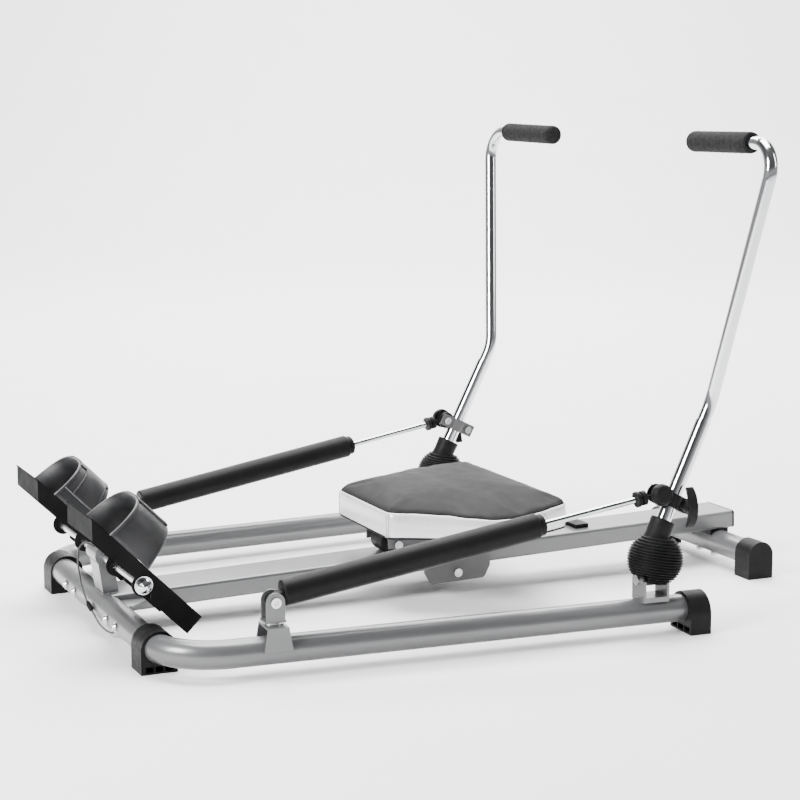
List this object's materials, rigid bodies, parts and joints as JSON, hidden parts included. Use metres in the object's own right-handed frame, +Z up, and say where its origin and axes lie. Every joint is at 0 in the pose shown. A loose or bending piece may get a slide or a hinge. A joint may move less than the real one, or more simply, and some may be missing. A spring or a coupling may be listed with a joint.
{
  "type": "rowing machine",
  "caption": "Home rowing machine: sliding padded seat on a beam, two swinging arms with hydraulic cylinders and pivoting foot plates.",
  "frame": {"origin": "on the floor, in the middle of the length and width of the machine", "axes": "+X to the rear end of the beam, +Y to the right hand of the seated rower, who faces -X, +Z up"},
  "size_m": [1.2879, 0.9926, 0.8116],
  "materials": {
    "silver_paint": "silver grey gloss paint",
    "grey_paint": "mid grey paint",
    "dark_steel": "oiled steel",
    "bright_steel": "zinc plated steel",
    "chrome": "chrome plate",
    "black_gloss": "gloss black paint",
    "black_plastic": "satin black plastic",
    "black_rubber": "matt black rubber",
    "foam": "closed cell foam",
    "lead_vinyl": "vinyl sheathed lead",
    "strap_vinyl": "black coated fabric",
    "charcoal_vinyl": "grained charcoal vinyl",
    "silver_vinyl": "grained silver vinyl",
    "plate_paint": "satin black paint"
  },
  "bodies": {
    "base": {"side_frame_left": "silver_paint", "side_frame_right": "silver_paint", "crossbar_centre": "silver_paint", "crossbar_spigot": "dark_steel", "frame_bolts": "bright_steel", "main_beam": "silver_paint", "beam_end_cap": "black_plastic", "seat_stops": "black_plastic", "rear_stabilizer": "silver_paint", "stabilizer_saddle": "black_rubber", "stabilizer_caps": "black_plastic", "front_feet": "black_plastic", "rear_feet": "black_plastic", "foot_post": "silver_paint", "foot_axle": "bright_steel", "axle_nuts": "chrome", "cylinder_brackets": "silver_paint", "arm_brackets": "silver_paint", "sensor_lead": "lead_vinyl", "lead_connector": "black_plastic"},
    "seat": {"seat_board": "black_plastic", "seat_pad": "charcoal_vinyl", "seat_band": "silver_vinyl", "seat_carriage": "grey_paint", "roller_bolts": "bright_steel"},
    "front_roller": {"front_roller": "black_plastic"},
    "rear_roller": {"rear_roller": "black_plastic"},
    "keeper_roller": {"keeper_roller": "black_plastic"},
    "foot_right": {"foot_plate_right": "plate_paint", "foot_strap_right": "strap_vinyl"},
    "yoke_right": {"arm_yoke_right": "dark_steel", "pivot_boot_right": "black_rubber"},
    "arm_right": {"lower_arm_right": "chrome", "upper_arm_right": "chrome", "hand_grip_right": "foam", "clamp_plates_right": "grey_paint", "rod_joint_housing_right": "black_plastic", "clamp_screws_right": "bright_steel"},
    "knob_right": {"t_knob_right": "black_plastic"},
    "clevis_right": {"cylinder_clevis_right": "silver_paint", "clevis_pin_right": "bright_steel"},
    "barrel_right": {"cylinder_barrel_right": "black_gloss"},
    "rod_right": {"cylinder_rod_right": "chrome", "rod_end_right": "black_plastic"},
    "foot_left": {"foot_plate_left": "plate_paint", "foot_strap_left": "strap_vinyl"},
    "yoke_left": {"arm_yoke_left": "dark_steel", "pivot_boot_left": "black_rubber"},
    "arm_left": {"lower_arm_left": "chrome", "upper_arm_left": "chrome", "hand_grip_left": "foam", "clamp_plates_left": "grey_paint", "rod_joint_housing_left": "black_plastic", "clamp_screws_left": "bright_steel"},
    "knob_left": {"t_knob_left": "black_plastic"},
    "clevis_left": {"cylinder_clevis_left": "silver_paint", "clevis_pin_left": "bright_steel"},
    "barrel_left": {"cylinder_barrel_left": "black_gloss"},
    "rod_left": {"cylinder_rod_left": "chrome", "rod_end_left": "black_plastic"}
  },
  "joints": [
    {"name": "seat_slide", "type": "slide", "parent": "base", "child": "seat", "axis": [0.9996, 0, 0.029], "range_m": [-0.36, 0.13]},
    {"name": "front_roller_spin", "type": "hinge", "parent": "seat", "child": "front_roller", "pos_m": [-0.05259, 0, 0.09983], "axis": [0, 1, 0], "range_deg": [-985.2, 357.7]},
    {"name": "rear_roller_spin", "type": "hinge", "parent": "seat", "child": "rear_roller", "pos_m": [0.16531, 0, 0.10615], "axis": [0, 1, 0], "range_deg": [-985.2, 357.7]},
    {"name": "keeper_roller_spin", "type": "hinge", "parent": "seat", "child": "keeper_roller", "pos_m": [0.0622, 0, 0.03948], "axis": [0, 1, 0], "range_deg": [-747.8, 2065.6]},
    {"name": "foot_tilt_right", "type": "hinge", "parent": "base", "child": "foot_right", "pos_m": [-0.567, 0, 0.126], "axis": [0, 1, 0], "range_deg": [-20, 15]},
    {"name": "arm_spread_right", "type": "hinge", "parent": "base", "child": "yoke_right", "pos_m": [0.236, 0.40913, 0.093], "axis": [-0.9981, -0.0619, 0], "range_deg": [-4, 8]},
    {"name": "arm_swing_right", "type": "hinge", "parent": "yoke_right", "child": "arm_right", "pos_m": [0.2291, 0.405, 0.12], "axis": [-0.0618, 0.996, 0.064], "range_deg": [-42, 15], "deforming": ["pivot_boot_right"]},
    {"name": "knob_turn_right", "type": "hinge", "parent": "arm_right", "child": "knob_right", "pos_m": [0.29793, 0.40364, 0.20767], "axis": [-0.0618, 0.996, 0.064], "continuous": true},
    {"name": "cylinder_swivel_right", "type": "hinge", "parent": "base", "child": "clevis_right", "pos_m": [-0.403, 0.366, 0.1145], "axis": [0, 0, 1], "range_deg": [-0.9, 1.8]},
    {"name": "cylinder_pitch_right", "type": "hinge", "parent": "clevis_right", "child": "barrel_right", "pos_m": [-0.403, 0.366, 0.1145], "axis": [-0.0539, 0.9985, 0], "range_deg": [-0.98, 0.42]},
    {"name": "rod_slide_right", "type": "slide", "parent": "barrel_right", "child": "rod_right", "axis": [0.9853, 0.0532, 0.1622], "range_m": [-0.08, 0.03]},
    {"name": "foot_tilt_left", "type": "hinge", "parent": "base", "child": "foot_left", "pos_m": [-0.567, 0, 0.126], "axis": [0, 1, 0], "range_deg": [-20, 15]},
    {"name": "arm_spread_left", "type": "hinge", "parent": "base", "child": "yoke_left", "pos_m": [0.236, -0.40913, 0.093], "axis": [0.9981, -0.0619, 0], "range_deg": [-4, 8]},
    {"name": "arm_swing_left", "type": "hinge", "parent": "yoke_left", "child": "arm_left", "pos_m": [0.2291, -0.405, 0.12], "axis": [0.0618, 0.996, -0.064], "range_deg": [-42, 15], "deforming": ["pivot_boot_left"]},
    {"name": "knob_turn_left", "type": "hinge", "parent": "arm_left", "child": "knob_left", "pos_m": [0.29793, -0.40364, 0.20767], "axis": [0.0618, 0.996, -0.064], "continuous": true},
    {"name": "cylinder_swivel_left", "type": "hinge", "parent": "base", "child": "clevis_left", "pos_m": [-0.403, -0.366, 0.1145], "axis": [0, 0, -1], "range_deg": [-0.9, 1.8]},
    {"name": "cylinder_pitch_left", "type": "hinge", "parent": "clevis_left", "child": "barrel_left", "pos_m": [-0.403, -0.366, 0.1145], "axis": [0.0539, 0.9985, 0], "range_deg": [-0.98, 0.42]},
    {"name": "rod_slide_left", "type": "slide", "parent": "barrel_left", "child": "rod_left", "axis": [0.9853, -0.0532, 0.1622], "range_m": [-0.08, 0.03]}
  ],
  "couplings": [
    {"joint": "front_roller_spin", "follows": "seat_slide", "rad_per_m": 47.619},
    {"joint": "rear_roller_spin", "follows": "seat_slide", "rad_per_m": 47.619},
    {"joint": "keeper_roller_spin", "follows": "seat_slide", "rad_per_m": -100},
    {"joint": "cylinder_swivel_right", "follows": "arm_spread_right", "ratio": 0.209},
    {"joint": "cylinder_pitch_right", "follows": "arm_swing_right", "ratio": 0.021},
    {"joint": "rod_slide_right", "follows": "arm_swing_right", "m_per_rad": 0.106},
    {"joint": "cylinder_swivel_left", "follows": "arm_spread_left", "ratio": 0.209},
    {"joint": "cylinder_pitch_left", "follows": "arm_swing_left", "ratio": 0.021},
    {"joint": "rod_slide_left", "follows": "arm_swing_left", "m_per_rad": 0.106}
  ]
}
